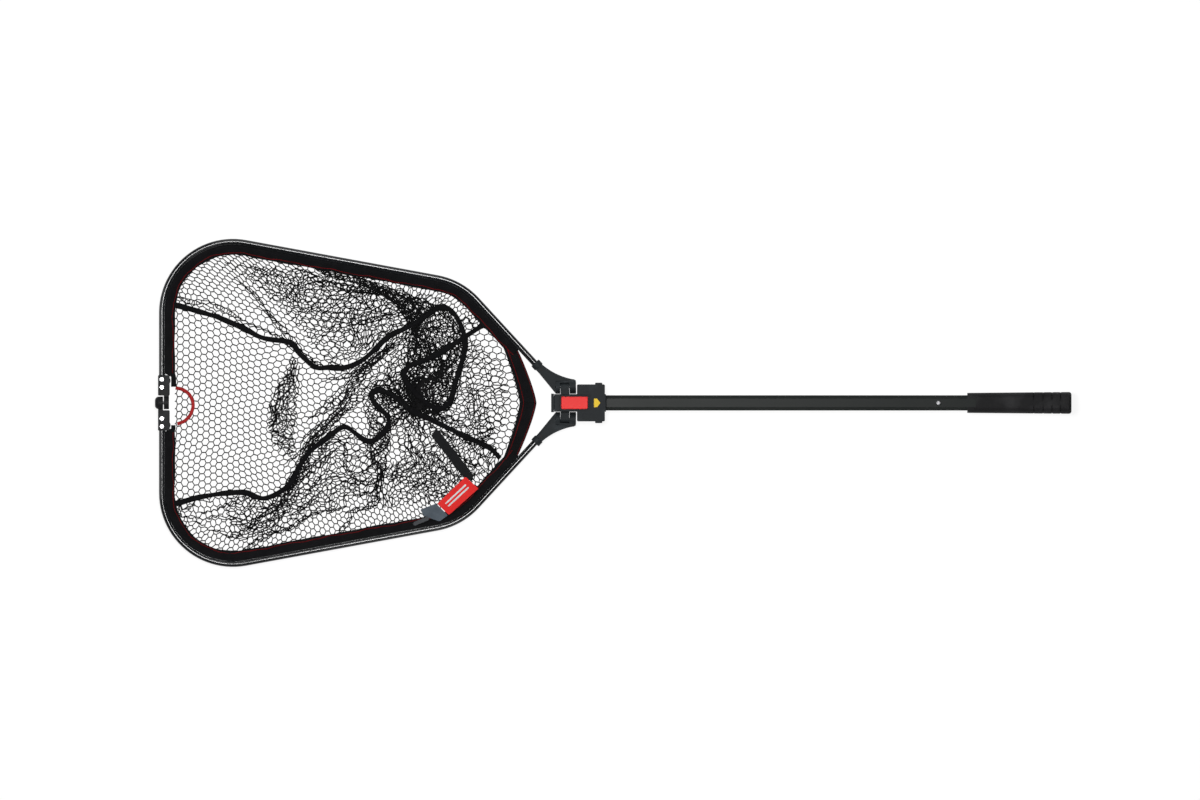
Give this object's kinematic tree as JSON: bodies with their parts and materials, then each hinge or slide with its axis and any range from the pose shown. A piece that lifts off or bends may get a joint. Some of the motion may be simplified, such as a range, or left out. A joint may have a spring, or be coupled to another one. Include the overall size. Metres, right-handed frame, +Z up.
{
  "type": "folding landing net",
  "caption": "Folding landing net: two-winged hoop with a slack mesh bag, hinged on a locking block through which an octagonal pole slides to its grip.",
  "frame": {"origin": "centre of the block's flat underside, which rests on the ground", "axes": "+X along the pole towards the grip, +Z up, +Y towards the right-hand wing"},
  "size_m": [1.6498, 0.5908, 0.0452],
  "materials": {
    "moulded_plastic": "matt moulded dark grey plastic",
    "cover_plastic": "matt moulded dark grey plastic",
    "button_plastic": "satin red plastic",
    "arrow_plastic": "satin yellow plastic",
    "spring_steel": "bright spring steel",
    "screw_steel": "zinc plated steel",
    "pin_steel": "ground steel",
    "rivet_aluminium": "bright aluminium",
    "rail_aluminium": "black anodised",
    "pole_aluminium": "black anodised, satin",
    "snap_pin_metal": "satin steel",
    "band_fabric": "black woven tape",
    "piping_fabric": "dark red woven piping",
    "net_rubber": "black rubber-coated mesh",
    "seam_fabric": "black woven tape",
    "loop_fabric": "red webbing",
    "strap_fabric": "black hook-and-loop tape",
    "label_fabric": "red woven label",
    "tab_fabric": "blue-grey fabric",
    "grip_rubber": "black moulded rubber"
  },
  "bodies": {
    "block": {"block_body": "moulded_plastic", "block_cover": "cover_plastic", "cover_screws": "screw_steel", "button_spring": "spring_steel", "arrow_inlay": "arrow_plastic", "hinge_pin_left": "pin_steel", "hinge_pin_right": "pin_steel", "throat_band_centre": "band_fabric", "throat_piping": "piping_fabric", "net_bag_centre": "net_rubber", "lift_loop": "loop_fabric"},
    "left_wing": {"arm_left": "moulded_plastic", "arm_rivet_left": "rivet_aluminium", "rail_left": "rail_aluminium", "far_bracket_left": "moulded_plastic", "far_rivets_left": "rivet_aluminium", "rim_band_left": "band_fabric", "rim_piping_left": "piping_fabric", "throat_band_left": "band_fabric", "net_bag_left": "net_rubber", "seam_tape_left": "seam_fabric", "far_hinge_pin": "pin_steel", "wrap_strap": "strap_fabric", "wrap_label": "label_fabric", "wrap_tab": "tab_fabric", "wrap_tail": "tab_fabric"},
    "right_wing": {"arm_right": "moulded_plastic", "arm_rivet_right": "rivet_aluminium", "rail_right": "rail_aluminium", "far_bracket_right": "moulded_plastic", "far_rivets_right": "rivet_aluminium", "rim_band_right": "band_fabric", "rim_piping_right": "piping_fabric", "throat_band_right": "band_fabric", "net_bag_right": "net_rubber", "seam_tape_right": "seam_fabric"},
    "pole": {"pole": "pole_aluminium", "pole_stop_plug": "moulded_plastic", "grip": "grip_rubber", "butt_plug": "moulded_plastic", "snap_spring_front": "spring_steel", "snap_spring_rear": "spring_steel"},
    "button": {"release_button": "button_plastic"},
    "front_snap_pin": {"snap_pin_front": "snap_pin_metal"},
    "rear_snap_pin": {"snap_pin_rear": "snap_pin_metal"}
  },
  "joints": [
    {"name": "left_fold", "type": "hinge", "parent": "block", "child": "left_wing", "pos_m": [-0.0275, -0.029, 0.022], "axis": [-0.9992, 0.0404, 0], "range_deg": [0, 90]},
    {"name": "right_fold", "type": "hinge", "parent": "block", "child": "right_wing", "pos_m": [-0.0275, 0.029, 0.022], "axis": [0.9992, 0.0404, 0], "range_deg": [0, 90]},
    {"name": "pole_slide", "type": "slide", "parent": "block", "child": "pole", "axis": [1, 0, 0], "range_m": [-0.65, 0]},
    {"name": "button_press", "type": "slide", "parent": "block", "child": "button", "axis": [0, 0, -1], "range_m": [0, 0.0032], "stiffness_N_per_m": 500, "springref_m": -0.002, "deforming": ["button_spring"]},
    {"name": "front_pin_press", "type": "slide", "parent": "pole", "child": "front_snap_pin", "axis": [0, 0, -1], "range_m": [0, 0.0032], "deforming": ["snap_spring_front"]},
    {"name": "rear_pin_press", "type": "slide", "parent": "pole", "child": "rear_snap_pin", "axis": [0, 0, -1], "range_m": [0, 0.0032], "deforming": ["snap_spring_rear"]}
  ],
  "couplings": [
    {"joint": "right_fold", "follows": "left_fold", "ratio": 1},
    {"joint": "front_pin_press", "follows": "button_press", "ratio": 1},
    {"joint": "rear_pin_press", "follows": "button_press", "ratio": 1}
  ]
}
